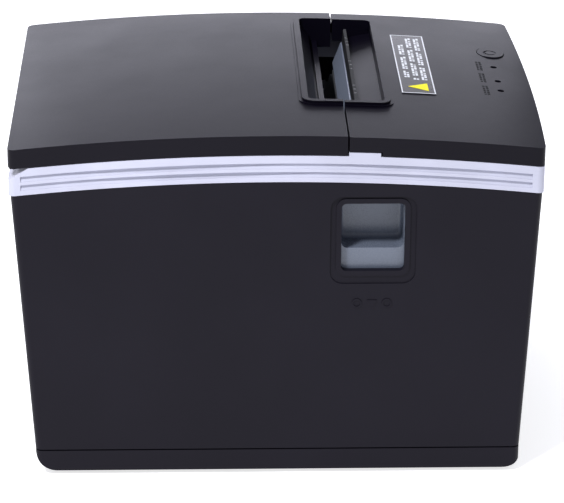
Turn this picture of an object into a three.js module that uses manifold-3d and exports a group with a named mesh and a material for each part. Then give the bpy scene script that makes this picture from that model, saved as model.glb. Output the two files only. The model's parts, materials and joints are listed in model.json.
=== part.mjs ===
// A desktop thermal receipt printer for 80 mm paper, with drop-in loading, a side release lever,
// a tear bar and an automatic cutter.
// Millimetres. +X points to the front, +Z up, +Y to the printer's right-hand side seen from behind.
// The origin is the centre of the footprint, on the surface that the feet stand on.
import * as THREE from "three";
import { mergeVertices } from "three/addons/utils/BufferGeometryUtils.js";
import Module from "manifold-3d";

const wasm = await Module();
wasm.setup();

// ---------------------------------------------------------------- driving dimensions
const REAR = -96; // rear face of the covers
const FRONT = 94; // front corners of the covers
const BOW = 2; // how far the front bulges between its corners
const HALF_WIDTH = 72.5;
const CORNER = 2.6; // plan radius of the four upright corners
const CROWN = 5; // rise of the arched top between its ends
const CROWN_HALF = 95; // half the chord of that arch
const CROWN_RADIUS = (CROWN_HALF ** 2 + CROWN ** 2) / (2 * CROWN);
const WALL = 2.5;

const FOOT_PROUD = 1.5;
const SEAM_Z = 9.5; // top edge of the base tray
const SEAM_GAP = 0.5;
const BASE_RADIUS = 8; // rounding under the front and rear ends
const BELT_Z = 120; // height at which the walls reach their full length
const SEAM_REAR = -89; // the walls lean in from the belt to these ends at the seam
const SEAM_FRONT = 88.9;
const SEAM_HALF = 71.5;

// Heights below are those of the arched surfaces at x = +/-95.
const CASE_TOP = 109.6;
const BAND_LOW = 109.9;
const BAND_TOP = 119.8;
const COVER_LOW = 120.1;
const COVER_TOP = 127.2;
const FRONT_TOP = 126.95; // the front cover lies a touch lower than the paper cover
const COVER_SKIN = 2;
const BAND_WALL = 3;

const PART_X = 24.2; // line where the paper cover meets the front cover
const PART_GAP = 0.6;

// The paper slot and its raised rim, in plan.
const SLOT = { x0: 11.3, x1: 39.2, y0: -36.2, y1: 60.8, r: 2.4 };
const RIM = { x0: 8.7, x1: 41.8, y0: -38.8, y1: 63.4, r: 4.8 };
const RIM_PROUD = 1.4;

// The release lever's window in the left wall.
const DISH = { x0: 18.1, x1: 48.9, z0: 75.6, z1: 109.1, r: 4.6 };
const LIP = { x0: 20.2, x1: 46.7, z0: 78.6, z1: 108.2, r: 3.6 };
const WINDOW = { x0: 22.1, x1: 44.8, z0: 80.6, z1: 106.4, r: 1.6 };
const DISH_DEPTH = 0.6;

const HINGE = { x: -93.4, z: 121.6, pin: 1, eye: 1.8 };
const HINGE_LUGS = [-24, 49]; // low y of each lug, LUG_WIDTH wide
const LUG_WIDTH = 5;

// Paper path and print mechanism.
const PAPER_Y0 = -26;
const PAPER_Y1 = 55;
const BAY = { x: -41.5, z: 63, r: 42.5, y0: -28, y1: 57.5, wall: 2 };
const PLATEN = { x: 13.5, z: 98, r: 5.5, shaft: 2.5 };
const PLATE_NEAR = { y0: -33, y1: -31.5 };
const PLATE_FAR = { y0: 60, y1: 61.5 };
const CHASSIS = { x0: 5.5, x1: 60, z0: 4.3, z1: 110 };
const LOCK = { x: 12, z: 78, r: 2.5 };
const STEPPER = { x: 34, z: 61, r: 17.5 };
const BUSH_RADIUS = 3.6;
const NIP_ANGLE = (-40 * Math.PI) / 180; // where the head touches the platen, below the level
const FITTED = 0.3; // clearance round pieces that are fixed in each other
const RUNNING = 0.1; // radial clearance of turning pieces

const GEAR_MODULE = 0.7;
const GEAR = { y0: 64.2, y1: 68.2 };
const PLATEN_TEETH = 17;
const IDLER_TEETH = 47;
const STEPPER_TEETH = 12;
const RACK_MODULE = 0.8;
const CUTTER_TEETH = 14;
const BLADE_Z = 112.8;
const CUTTER_AXIS_X = 47.5;
const RACK_LINE_Y = 28.2;

const ROUND = 16; // sides of a round section

// ---------------------------------------------------------------- materials
const material = (color, roughness, metalness = 0) =>
  new THREE.MeshStandardMaterial({ color, roughness, metalness });
const CASE_BLACK = material(0x2a2a2f, 0.55);
const COVER_BLACK = material(0x36363b, 0.5);
const BAND_WHITE = material(0xd9dbe8, 0.45);
const LEVER_GREY = material(0x6f7f90, 0.5);
const INNER_BLACK = material(0x17171a, 0.6);
const STEEL = material(0xa9adb2, 0.35, 0.9);
const ALUMINIUM = material(0xb9bcc0, 0.4, 0.9);
const BRASS = material(0xb08d4a, 0.4, 0.9);
const RUBBER = material(0x1b1b1c, 0.9);
const NYLON = material(0xe4e2da, 0.5);
const CIRCUIT = material(0x1f5a3a, 0.4);
const LENS = material(0x24282c, 0.15);
const PRINT = material(0x44454a, 0.35);

// ---------------------------------------------------------------- solids
function solid(geometry) {
  const bare = geometry.clone();
  bare.deleteAttribute("normal");
  bare.deleteAttribute("uv");
  const merged = mergeVertices(bare, 1e-4);
  return new wasm.Manifold(
    new wasm.Mesh({
      numProp: 3,
      vertProperties: merged.attributes.position.array,
      triVerts: new Uint32Array(merged.index.array),
    }),
  );
}

const joined = (...solids) => solids.reduce((a, b) => a.add(b));
const cut = (body, ...tools) => tools.reduce((a, b) => a.subtract(b), body);

const part = new THREE.Group();
function place(name, body, look) {
  const mesh = body.getMesh();
  const geometry = new THREE.BufferGeometry()
    .setAttribute("position", new THREE.BufferAttribute(mesh.vertProperties, 3))
    .setIndex(new THREE.BufferAttribute(mesh.triVerts, 1));
  geometry.computeVertexNormals();
  const node = new THREE.Mesh(geometry, look);
  node.name = name;
  part.add(node);
}

function block(x0, x1, y0, y1, z0, z1) {
  const geometry = new THREE.BoxGeometry(x1 - x0, y1 - y0, z1 - z0);
  return solid(geometry.translate((x0 + x1) / 2, (y0 + y1) / 2, (z0 + z1) / 2));
}

const polygon = (...points) =>
  new THREE.Shape(points.map(([a, b]) => new THREE.Vector2(a, b)));

// Each arc of the shape gets this many steps, as an extrusion doubles its curveSegments on an arc.
function extruded(shape, depth, steps) {
  const curveSegments = Math.ceil(steps / 2);
  return new THREE.ExtrudeGeometry(shape, { depth, bevelEnabled: false, curveSegments });
}

// A shape drawn in X and Z, from y0 to y1.
const alongY = (shape, y0, y1, steps = ROUND) =>
  solid(extruded(shape, y1 - y0, steps).rotateX(Math.PI / 2).translate(0, y1, 0));

// A shape drawn in Y and Z, from x0 to x1.
function alongX(shape, x0, x1, steps = ROUND) {
  const turned = new THREE.Matrix4().makeBasis(
    new THREE.Vector3(0, 1, 0),
    new THREE.Vector3(0, 0, 1),
    new THREE.Vector3(1, 0, 0),
  );
  return solid(extruded(shape, x1 - x0, steps).applyMatrix4(turned).translate(x0, 0, 0));
}

// A shape drawn in X and Y, from z0 to z1.
const alongZ = (shape, z0, z1, steps = ROUND) =>
  solid(extruded(shape, z1 - z0, steps).translate(0, 0, z0));

const disc = (a, b, r) => new THREE.Shape().absarc(a, b, r, 0, 2 * Math.PI, false);
const rodY = (x, z, r, y0, y1, steps = ROUND) => alongY(disc(x, z, r), y0, y1, steps);
const rodZ = (x, y, r, z0, z1, steps = ROUND) => alongZ(disc(x, y, r), z0, z1, steps);
const rodX = (y, z, r, x0, x1, steps = ROUND) => alongX(disc(y, z, r), x0, x1, steps);

function rounded(a0, a1, b0, b1, r) {
  const shape = new THREE.Shape();
  shape.absarc(a1 - r, b0 + r, r, -Math.PI / 2, 0, false);
  shape.absarc(a1 - r, b1 - r, r, 0, Math.PI / 2, false);
  shape.absarc(a0 + r, b1 - r, r, Math.PI / 2, Math.PI, false);
  shape.absarc(a0 + r, b0 + r, r, Math.PI, 1.5 * Math.PI, false);
  return shape;
}

// ---------------------------------------------------------------- the printer's outer form
// The plan outline at one height: straight sides, round corners and a bowed front.
function planRing({ rear, front, half, radius }) {
  const ring = [];
  const corner = (x, y, from) => {
    for (let i = 0; i <= 2; i++) {
      const a = from + (i * Math.PI) / 4;
      ring.push([x + radius * Math.cos(a), y + radius * Math.sin(a)]);
    }
  };
  corner(rear + radius, -half + radius, Math.PI);
  corner(front - radius, -half + radius, 1.5 * Math.PI);
  for (let i = 1; i <= 5; i++) {
    const y = (half - radius) * (i / 3 - 1);
    ring.push([front + BOW * (1 - (y / (half - radius)) ** 2), y]);
  }
  corner(front - radius, half - radius, 0);
  corner(rear + radius, half - radius, Math.PI / 2);
  return ring;
}

// The walls' position at height z, moved in by inset.
function level(z, inset = 0) {
  const lean = Math.min(Math.max((BELT_Z - z) / (BELT_Z - SEAM_Z), 0), 1);
  return {
    z,
    rear: REAR + (SEAM_REAR - REAR) * lean + inset,
    front: FRONT + (SEAM_FRONT - FRONT) * lean - inset,
    half: HALF_WIDTH + (SEAM_HALF - HALF_WIDTH) * lean - inset,
    radius: Math.max(CORNER - inset, 0.4),
  };
}

// A closed body through several plan outlines, one above the other.
function loft(levels) {
  const rings = levels.map((l) => planRing(l).map(([x, y]) => [x, y, l.z]));
  const count = rings[0].length;
  const faces = [];
  rings.slice(1).forEach((_, i) => {
    for (let j = 0; j < count; j++) {
      const a = i * count + j;
      const b = i * count + ((j + 1) % count);
      faces.push(a, b, b + count, a, b + count, a + count);
    }
  });
  const flat = rings[0].map(([x, y]) => new THREE.Vector2(x, y));
  const top = (rings.length - 1) * count;
  for (const [a, b, c] of THREE.ShapeUtils.triangulateShape(flat, [])) {
    faces.push(a, c, b, top + a, top + b, top + c);
  }
  const geometry = new THREE.BufferGeometry();
  const positions = new THREE.Float32BufferAttribute(rings.flat(2), 3);
  return solid(geometry.setAttribute("position", positions).setIndex(faces));
}

// The height of an arched surface that stands at endZ over x = +/-95.
const crownZ = (x, endZ) =>
  endZ + CROWN - CROWN_RADIUS + Math.sqrt(CROWN_RADIUS ** 2 - x * x);

// A shape in X and Z between two arched surfaces.
function arched(lowEnd, highEnd, x0, x1) {
  const shape = new THREE.Shape();
  const angle = (x) => Math.acos(x / CROWN_RADIUS);
  shape.absarc(0, highEnd + CROWN - CROWN_RADIUS, CROWN_RADIUS, angle(x1), angle(x0), false);
  shape.absarc(0, lowEnd + CROWN - CROWN_RADIUS, CROWN_RADIUS, angle(x0), angle(x1), true);
  return shape;
}

const ARCH_STEPS = 10;
const BEYOND = 100; // past every wall
const archedSlab = (lowEnd, highEnd, x0 = -BEYOND, x1 = BEYOND, y0 = -80, y1 = 80) =>
  alongY(arched(lowEnd, highEnd, x0, x1), y0, y1, x1 - x0 > 60 ? ARCH_STEPS : 4);

// ---------------------------------------------------------------- casings
function baseTray() {
  const rise = SEAM_Z - FOOT_PROUD;
  const levels = [0, 1, 2, 3, 4, 5].map((i) => {
    const z = FOOT_PROUD + rise * (1 - Math.cos((i * Math.PI) / 10));
    const inset = BASE_RADIUS * (1 - Math.sin((i * Math.PI) / 10));
    const l = level(0);
    return { ...l, z, rear: l.rear + inset, front: l.front - inset, half: l.half - inset / 12 };
  });
  const tray = cut(loft(levels), block(-80, 80, -68, 68, 4, 20));
  const lip = cut(
    loft([level(8.5, WALL + 0.4), level(12.5, WALL + 0.4)]),
    loft([level(3, WALL + 1.9), level(13, WALL + 1.9)]),
  );
  const boss = (x, y) => rodZ(x, y, 3, 3.5, 11.6, 12);
  const boardBosses = BOARD_FIXINGS.map(([x, y]) => boss(x, y));
  const footPockets = FEET.map(([x, y]) => rodZ(x, y, 6.4, 1, 2.6));
  const screwHoles = CORNER_SCREWS.flatMap(([x, y]) => [
    rodZ(x, y, 3.3, 1, 3, 12),
    rodZ(x, y, 1.8, 1, 6, 12),
  ]);
  return cut(joined(tray, lip, ...boardBosses), ...footPockets, ...screwHoles);
}

const FEET = [-66, 66].flatMap((x) => [-54, 54].map((y) => [x, y]));
const CORNER_SCREWS = [-77, 77].flatMap((x) => [-63, 63].map((y) => [x, y]));
const BOARD_FIXINGS = [-50, 26].map((y) => [-62, y]);
const IO_OPENING = { y0: -56, y1: 58, z0: 13.4, z1: 31 };

function mainCase() {
  const outer = loft([level(SEAM_Z + SEAM_GAP), level(BELT_Z)]);
  const inner = loft([level(0, WALL), level(BELT_Z, WALL)].map((l, i) => ({ ...l, z: i ? 130 : 5 })));
  const walls = cut(outer, inner, archedSlab(CASE_TOP, CASE_TOP + 30));
  const posts = CORNER_SCREWS.map(([x, y]) => {
    const side = Math.sign(y);
    const [y0, y1] = [side * 60.2, side * 69.6].sort((a, b) => a - b);
    return cut(block(x - 5, x + 5, y0, y1, 14, 36), rodZ(x, y, 1.7, 13, 26, 12));
  });
  const face = -level(92).half;
  const dish = alongY(rounded(DISH.x0, DISH.x1, DISH.z0, DISH.z1, DISH.r), face - 2, face + DISH_DEPTH, 4);
  const lip = alongY(rounded(LIP.x0, LIP.x1, LIP.z0, LIP.z1, LIP.r), face + 0.1, face + 1.2, 4);
  const window = alongY(
    rounded(WINDOW.x0, WINDOW.x1, WINDOW.z0, WINDOW.z1, WINDOW.r), -80, -60, 3,
  );
  const io = block(-99, -80, IO_OPENING.y0, IO_OPENING.y1, IO_OPENING.z0, IO_OPENING.z1);
  return cut(joined(cut(walls, dish), lip, ...posts), window, io);
}

const GROOVES = [
  [BAND_LOW + 4.9, BAND_LOW + 7],
  [BAND_LOW + 1.7, BAND_LOW + 3.8],
];
const GROOVE_DEPTH = 0.8;
const GROOVE_END = 1.8; // from each upright corner
const TAB = { x0: 24.4, x1: 35.6, rise: 1.4 };

function trimBand() {
  const ring = cut(
    loft([level(100), level(BELT_Z), { ...level(BELT_Z), z: 130 }]),
    loft([level(100, BAND_WALL), level(BELT_Z, BAND_WALL), { ...level(BELT_Z, BAND_WALL), z: 131 }]),
  );
  const band = ring.intersect(archedSlab(BAND_LOW, BAND_TOP));
  const tab = ring.intersect(archedSlab(BAND_TOP - 1, BAND_TOP + TAB.rise, TAB.x0, TAB.x1));
  const rearLedge = block(-94, -87.4, -70, 70, 111, 120);
  const rearChamfer = alongY(
    polygon([-87.8, 121], [-100, 113.4], [-100, 124], [-87.8, 124]), -80, 80,
  );
  const lugNotches = HINGE_LUGS.map((y) => block(-90.6, -80, y - 0.5, y + LUG_WIDTH + 0.5, 117, 125));
  const grooves = GROOVES.flatMap(([low, high]) =>
    [-1, 1].map((side) => {
      const face = side * (HALF_WIDTH - GROOVE_DEPTH);
      const [y0, y1] = [face, side * 80].sort((a, b) => a - b);
      return archedSlab(low, high, REAR + CORNER + GROOVE_END, FRONT - CORNER - GROOVE_END, y0, y1);
    }),
  );
  return cut(joined(band, tab, rearLedge), rearChamfer, ...lugNotches, ...grooves);
}

// The shell that both covers are cut from: arched skin, skirts all round and the slot's raised rim.
function coverShell(topZ) {
  const outer = loft([{ ...level(BELT_Z), z: 110 }, { ...level(BELT_Z), z: 140 }]);
  const inner = loft([{ ...level(BELT_Z, WALL), z: 100 }, { ...level(BELT_Z, WALL), z: 141 }]);
  const skin = outer.intersect(archedSlab(COVER_LOW, topZ));
  const hollow = inner.intersect(archedSlab(COVER_LOW - 9, topZ - COVER_SKIN));
  const rim = alongZ(rounded(RIM.x0, RIM.x1, RIM.y0, RIM.y1, RIM.r), 110, 140, 3).intersect(
    archedSlab(topZ - 0.5, topZ + RIM_PROUD, 0, 60),
  );
  return joined(cut(skin, hollow), rim);
}

const slotPrism = () => alongZ(rounded(SLOT.x0, SLOT.x1, SLOT.y0, SLOT.y1, SLOT.r), 100, 150, 3);
const SLOT_CHEEK = 1.5; // thickness of the slot's end walls

function slotCheeks(x0, x1, lowZ) {
  const highZ = crownZ(30, COVER_TOP) - 0.6;
  return [
    block(x0, x1, SLOT.y0 - SLOT_CHEEK, SLOT.y0 + 0.01, lowZ, highZ),
    block(x0, x1, SLOT.y1 - 0.01, SLOT.y1 + SLOT_CHEEK, lowZ, highZ),
  ];
}

function paperCover() {
  const front = PART_X - PART_GAP / 2;
  const shell = cut(coverShell(COVER_TOP), block(front, 120, -90, 90, 90, 150));
  const frontWall = archedSlab(COVER_LOW, COVER_TOP - 1, front - 1.5, front, -71, 71);
  const skin = cut(joined(shell, frontWall), slotPrism());
  const y0 = SLOT.y0 - 0.5;
  const y1 = SLOT.y1 + 0.5;
  const throat = alongY(
    polygon([9.6, 131.4], [11.4, 131.4], [15.2, 126.4], [15.2, 122.2], [16.4, 122.2], [16.4, 124.2],
      [18.4, 124.2], [18.4, 121], [13.6, 121], [13.6, 125.6], [9.6, 129.4]),
    y0, y1,
  );
  const ears = HINGE_LUGS.map((y) =>
    block(-95.6, -90.6, y + LUG_WIDTH + 0.5, y + LUG_WIDTH + 3.2, 119.4, 126.6),
  );
  const pinHoles = HINGE_LUGS.map((y) =>
    rodY(HINGE.x, HINGE.z, HINGE.pin + FITTED, y - 1.2, y + LUG_WIDTH + 6, 12),
  );
  const lugNotches = HINGE_LUGS.map((y) =>
    block(-100, -90, y - 0.5, y + LUG_WIDTH + 0.49, 110, 124.4),
  );
  const rearEdge = alongY(polygon([-97, 119.5], [-94.6, 119.5], [-97, 121.5]), -80, 80);
  const body = joined(skin, throat, ...slotCheeks(10.5, front, 121.5), ...ears);
  return cut(body, rearEdge, ...lugNotches, ...pinHoles);
}

const BUTTON = { x: 84.4, y: 32.5, rx: 5.1, ry: 6.3 };
const LAMPS = [
  ["power_lamp", -12.4],
  ["error_lamp", -1.5],
  ["paper_lamp", 15.2],
];
const LAMP_X = 84;
const LAMP_RADIUS = 1.1;

function oval(grow) {
  const shape = new THREE.Shape();
  shape.absellipse(BUTTON.x, BUTTON.y, BUTTON.rx + grow, BUTTON.ry + grow, 0, 2 * Math.PI, false, 0);
  return shape;
}

function frontCover() {
  const rear = PART_X + PART_GAP / 2;
  const shell = cut(coverShell(FRONT_TOP), block(-120, rear, -90, 90, 90, 150));
  const rearWall = archedSlab(COVER_LOW + 1.6, FRONT_TOP - 1, rear, rear + 1.5, -71, 71);
  const lightStop = archedSlab(COVER_LOW + 1.6, FRONT_TOP - 1.6, rear - 0.45, rear + 1, 64.5, 66.5);
  const tabNotch = archedSlab(COVER_LOW - 3, COVER_LOW + TAB.rise, rear - 1, TAB.x1 + 0.6);
  const skin = cut(joined(shell, rearWall, lightStop), tabNotch, slotPrism());
  const y0 = SLOT.y0 - 0.5;
  const y1 = SLOT.y1 + 0.5;
  const slope = alongY(
    polygon([30.3, 124.7], [40.8, 126.2], [40.8, 131], [39.1, 131], [39.1, 127.1], [30.3, 125.6]),
    y0, y1,
  );
  const lampHoles = LAMPS.map(([, y]) => rodZ(LAMP_X, y, LAMP_RADIUS + FITTED, 110, 140, 12));
  return cut(
    joined(skin, slope, ...slotCheeks(rear, 40.8, 124)),
    alongZ(oval(FITTED), 110, 140, 24),
    ...lampHoles,
  );
}

function feedButton() {
  const top = crownZ(BUTTON.x, FRONT_TOP) + 0.5;
  return joined(
    alongZ(oval(0), 124.4, top, 24),
    alongZ(oval(1.2), 124, 125.1, 24),
    rodZ(BUTTON.x, BUTTON.y, 1.5, 122.4, 124, 12),
  );
}

function lamp(y) {
  const top = crownZ(LAMP_X, FRONT_TOP) - 1.3;
  return joined(rodZ(LAMP_X, y, LAMP_RADIUS, 121.5, top, 12), rodZ(LAMP_X, y, 1.8, 121.2, 122.6, 12));
}

const controlBoard = () =>
  joined(
    block(76, 92, -20, 42, 118, 119.6),
    block(BUTTON.x - 3, BUTTON.x + 3, BUTTON.y - 3, BUTTON.y + 3, 119.5, 121.4),
    ...LAMPS.map(([, y]) => rodZ(LAMP_X, y, 1.4, 119.5, 120.9, 10)),
  );

const infoLabel = () => archedSlab(FRONT_TOP + 0.06, FRONT_TOP + 0.26, 46.4, 59, -22.5, 46.5);

// ---------------------------------------------------------------- paper bay and cover hinge
function paperBucket() {
  const side = (r, top, lip) => {
    const shape = new THREE.Shape();
    shape.moveTo(BAY.x - r, top);
    shape.lineTo(BAY.x - r, BAY.z);
    shape.absarc(BAY.x, BAY.z, r, Math.PI, 2 * Math.PI, false);
    shape.lineTo(BAY.x + r, lip);
    shape.lineTo(-5, top);
    return shape;
  };
  const outer = alongY(side(BAY.r + BAY.wall, 108, 92), BAY.y0 - BAY.wall, BAY.y1 + BAY.wall, 24);
  const room = alongY(side(BAY.r, 130, 130), BAY.y0, BAY.y1, 24);
  const legs = [-18, 42].map((y) => block(-56, -27, y, y + 4, 4.3, 24));
  const lugs = HINGE_LUGS.map((y) => {
    const arm = polygon(
      [-93.4, 120.2], [-86, 120.2], [-86, 104], [-82.6, 104], [-82.6, 123.2], [-93.4, 123.2],
    );
    const eye = joined(alongY(arm, y, y + LUG_WIDTH), rodY(HINGE.x, HINGE.z, HINGE.eye, y, y + LUG_WIDTH));
    return cut(eye, rodY(HINGE.x, HINGE.z, HINGE.pin + RUNNING, y - 1, y + LUG_WIDTH + 1));
  });
  return joined(cut(joined(outer, ...legs), room), ...lugs);
}

const hingePin = (y) => rodY(HINGE.x, HINGE.z, HINGE.pin, y - 0.6, y + LUG_WIDTH + 3.4);

const paperSensor = () =>
  joined(block(-62, -48, -36, BAY.y0 - BAY.wall - FITTED, 44, 54), block(-58, -52, -39, -35.5, 46, 52));

// ---------------------------------------------------------------- print mechanism
// Points round the nip: u runs up along the head's face, v away from the platen.
function nipPoint(u, v) {
  const [c, s] = [Math.cos(NIP_ANGLE), Math.sin(NIP_ANGLE)];
  const out = PLATEN.r + v;
  return [PLATEN.x + c * out - s * u, PLATEN.z + s * out + c * u];
}
const nipPolygon = (...points) => polygon(...points.map(([u, v]) => nipPoint(u, v)));

const [IDLER_X, IDLER_Z] = (() => {
  const a = gearRadius(PLATEN_TEETH) + gearRadius(IDLER_TEETH) + 0.05;
  const b = gearRadius(IDLER_TEETH) + gearRadius(STEPPER_TEETH) + 0.05;
  const [dx, dz] = [STEPPER.x - PLATEN.x, STEPPER.z - PLATEN.z];
  const span = Math.hypot(dx, dz);
  const along = (a * a - b * b + span * span) / (2 * span);
  const off = Math.sqrt(a * a - along * along);
  return [PLATEN.x + (along * dx - off * dz) / span, PLATEN.z + (along * dz + off * dx) / span];
})();

function headChassis() {
  const { x0, x1, z0, z1 } = CHASSIS;
  const outline = polygon([x0, z0], [x1, z0], [x1, z1], [24, z1], [22, 104], [20.5, 104], [20.5, z1 - 3],
    [8.5, z1 - 3], [x0, 92]);
  const track = joined(
    rodY(PLATEN.x, PLATEN.z, BUSH_RADIUS + FITTED, -40, 70),
    alongY(polygon([9.4, 98.4], [17.6, 98.4], [21.4, 120], [9.4, 120]), -40, 70),
  );
  const plate = ({ y0, y1 }) =>
    cut(
      alongY(outline, y0, y1),
      track,
      rodY(LOCK.x, LOCK.z, LOCK.r + RUNNING, -40, 70),
      alongY(rounded(28, 52, 14, 26, 4), -40, 70, 4),
    );
  const [inner0, inner1] = [PLATE_NEAR.y1 - 0.5, PLATE_FAR.y0 + 0.5];
  const floor = block(x0 + 3, x1 - 1.4, inner0, inner1, 30, 31.5);
  const front = block(x1 - 2.2, x1 - 0.7, inner0, inner1, 29, z1 - 1);
  const springBar = alongY(nipPolygon([-6, 12.3], [-6, 13.8], [8, 13.8], [8, 12.3]), inner0, inner1);
  const stud = rodY(IDLER_X, IDLER_Z, 2, PLATE_FAR.y1 - 0.5, GEAR.y1 + 0.3);
  const shaftHole = rodY(STEPPER.x, STEPPER.z, 3, 50, 63);
  const frame = joined(plate(PLATE_NEAR), plate(PLATE_FAR), floor, front, springBar, stud);
  return cut(frame, shaftHole, headPivotRod(RUNNING, -40, 70));
}

const HEAD_PIVOT = { x: nipPoint(-6.4, 4.4)[0], z: nipPoint(-6.4, 4.4)[1], r: 1.2 };
const headPivotRod = (grow, y0, y1) => rodY(HEAD_PIVOT.x, HEAD_PIVOT.z, HEAD_PIVOT.r + grow, y0, y1, 12);

const printHead = () =>
  joined(
    alongY(
      nipPolygon([-8, 6], [-8, 1.3], [-6, 1.3], [-6, 0.15], [6.5, 0.15], [6.5, 1.3], [9, 1.3], [9, 6]),
      PAPER_Y0, PAPER_Y1,
    ),
    headPivotRod(0, PLATE_NEAR.y0 - 0.4, PLATE_FAR.y1 + 0.4),
  );

class Coil extends THREE.Curve {
  constructor(y) {
    super();
    this.y = y;
  }
  getPoint(t) {
    const turn = t * 3.5 * 2 * Math.PI;
    const [x, z] = nipPoint(1 + 2.2 * Math.cos(turn), 6.7 + 4.9 * t);
    return new THREE.Vector3(x, this.y + 2.2 * Math.sin(turn), z);
  }
}

function headSpring(y) {
  const wire = new THREE.Shape().absarc(0, 0, 0.35, 0, 2 * Math.PI, false);
  return solid(
    new THREE.ExtrudeGeometry(wire, {
      extrudePath: new Coil(y),
      steps: 28,
      curveSegments: 4,
      bevelEnabled: false,
    }),
  );
}

const SPRING_PLACES = [-6, 36];

// ---------------------------------------------------------------- gears
function gearRadius(teeth, module = GEAR_MODULE) {
  return (teeth * module) / 2;
}

// An involute gear outline with one tooth centred at angle phase.
function gearShape(teeth, module, x, z, phase) {
  const pitch = gearRadius(teeth, module);
  const base = pitch * Math.cos((20 * Math.PI) / 180);
  const involute = (r) => {
    const a = Math.acos(Math.min(1, base / r));
    return Math.tan(a) - a;
  };
  const halfTooth = Math.PI / (2 * teeth) - 0.11 / pitch;
  const halfAt = (r) => halfTooth + involute(pitch) - involute(Math.max(r, base));
  const radii = teeth > 30 ? [pitch - 1.2 * module, pitch + 0.9 * module]
    : [pitch - 1.2 * module, pitch - 0.2 * module, pitch + 0.9 * module];
  const points = [];
  for (let i = 0; i < teeth; i++) {
    const centre = phase + (2 * Math.PI * i) / teeth;
    const flank = radii.map((r) => [r, halfAt(r)]);
    const outline = [...flank.map(([r, h]) => [r, -h]), ...flank.reverse().map(([r, h]) => [r, h])];
    outline.forEach(([r, h]) => {
      points.push([x + r * Math.cos(centre + h), z + r * Math.sin(centre + h)]);
    });
  }
  return polygon(...points);
}

// The phase of a gear that meshes with one of the given phase, at the given direction from it.
function meshPhase(phase, teeth, direction, otherTeeth) {
  const step = (2 * Math.PI) / teeth;
  const lag = phase - direction - Math.round((phase - direction) / step) * step;
  return direction + Math.PI - (lag * teeth) / otherTeeth + Math.PI / otherTeeth;
}

const TO_PLATEN = Math.atan2(PLATEN.z - IDLER_Z, PLATEN.x - IDLER_X);
const TO_STEPPER = Math.atan2(STEPPER.z - IDLER_Z, STEPPER.x - IDLER_X);
const spurGear = (teeth, x, z, phase, bore) =>
  cut(
    alongY(gearShape(teeth, GEAR_MODULE, x, z, phase), GEAR.y0, GEAR.y1),
    rodY(x, z, bore, GEAR.y0 - 1, GEAR.y1 + 1),
  );

const platenGear = () =>
  spurGear(PLATEN_TEETH, PLATEN.x, PLATEN.z, meshPhase(0, IDLER_TEETH, TO_PLATEN, PLATEN_TEETH),
    PLATEN.shaft + FITTED);
const idlerGear = () => {
  const spokes = [0, 1, 2, 3, 4].map((i) => {
    const a = (2 * Math.PI * i) / 5;
    return rodY(IDLER_X + 9 * Math.cos(a), IDLER_Z + 9 * Math.sin(a), 3.2, 60, 70, 10);
  });
  return cut(spurGear(IDLER_TEETH, IDLER_X, IDLER_Z, 0, 2 + RUNNING), ...spokes);
};
const stepperPinion = () => {
  const phase = meshPhase(0, IDLER_TEETH, TO_STEPPER, STEPPER_TEETH);
  return joined(
    alongY(gearShape(STEPPER_TEETH, GEAR_MODULE, STEPPER.x, STEPPER.z, phase), GEAR.y0, GEAR.y1),
    rodY(STEPPER.x, STEPPER.z, 1.5, 60, GEAR.y0 + 1, 12),
  );
};
const stepperMotor = () =>
  joined(
    rodY(STEPPER.x, STEPPER.z, STEPPER.r, 39.5, 58.2, 28),
    alongY(rounded(STEPPER.x - 19, STEPPER.x + 19, STEPPER.z - 10, STEPPER.z + 10, 4), 58.1, 59.6, 4),
    block(STEPPER.x - 7, STEPPER.x + 7, 44, 53, STEPPER.z - 20, STEPPER.z - 14),
  );

// ---------------------------------------------------------------- platen, carried by the paper cover
const platenShaft = () => rodY(PLATEN.x, PLATEN.z, PLATEN.shaft, -37, GEAR.y1 + 0.4);
const platenRoller = () =>
  cut(
    rodY(PLATEN.x, PLATEN.z, PLATEN.r, PAPER_Y0 - 1, PAPER_Y1 + 1, 32),
    rodY(PLATEN.x, PLATEN.z, PLATEN.shaft + FITTED, -40, 70),
  );
const platenBush = (y0, y1) =>
  cut(
    rodY(PLATEN.x, PLATEN.z, BUSH_RADIUS, y0, y1),
    rodY(PLATEN.x, PLATEN.z, PLATEN.shaft + RUNNING, y0 - 1, y1 + 1),
  );

function platenHolder() {
  const beam = block(2, 11.5, -31, 59.6, 104.2, 111.2);
  const hangers = [-12, 38].map((y) => block(2, 8, y, y + 4, 111, 128.6));
  const arm = polygon([2, 111.2], [11.5, 111.2], [18.4, 100], [17.6, 95], [13.5, 92.8], [9, 95], [6, 104.2],
    [2, 104.2]);
  const arms = [[-31, -28.4], [57.2, 59.6]].map(([y0, y1]) => alongY(arm, y0, y1));
  const bores = rodY(PLATEN.x, PLATEN.z, BUSH_RADIUS + FITTED, -40, 70);
  return cut(joined(beam, ...hangers, ...arms), bores);
}

const fixedBlade = () => block(8.6, 20, PAPER_Y0, PAPER_Y1, 111.5, BLADE_Z - 0.2);

// ---------------------------------------------------------------- release lever
function leverCup() {
  const cup = cut(
    alongY(rounded(20.4, 46.4, 79.8, 108, 2), -69.4, -57.8, 4),
    alongY(rounded(22.2, 44.6, 88.5, 106.4, 2), -80, -59.3, 4),
  );
  const web = polygon([10, 73.6], [30, 80], [34, 96], [26, 100], [8, 81.5]);
  const arm = joined(alongY(web, -58, -55.6), rodY(LOCK.x, LOCK.z, 5, -58, -53));
  return cut(joined(cup, arm), rodY(LOCK.x, LOCK.z, LOCK.r + FITTED, -57, -50));
}

const lockShaft = () => rodY(LOCK.x, LOCK.z, LOCK.r, -56.6, 63.6);

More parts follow.
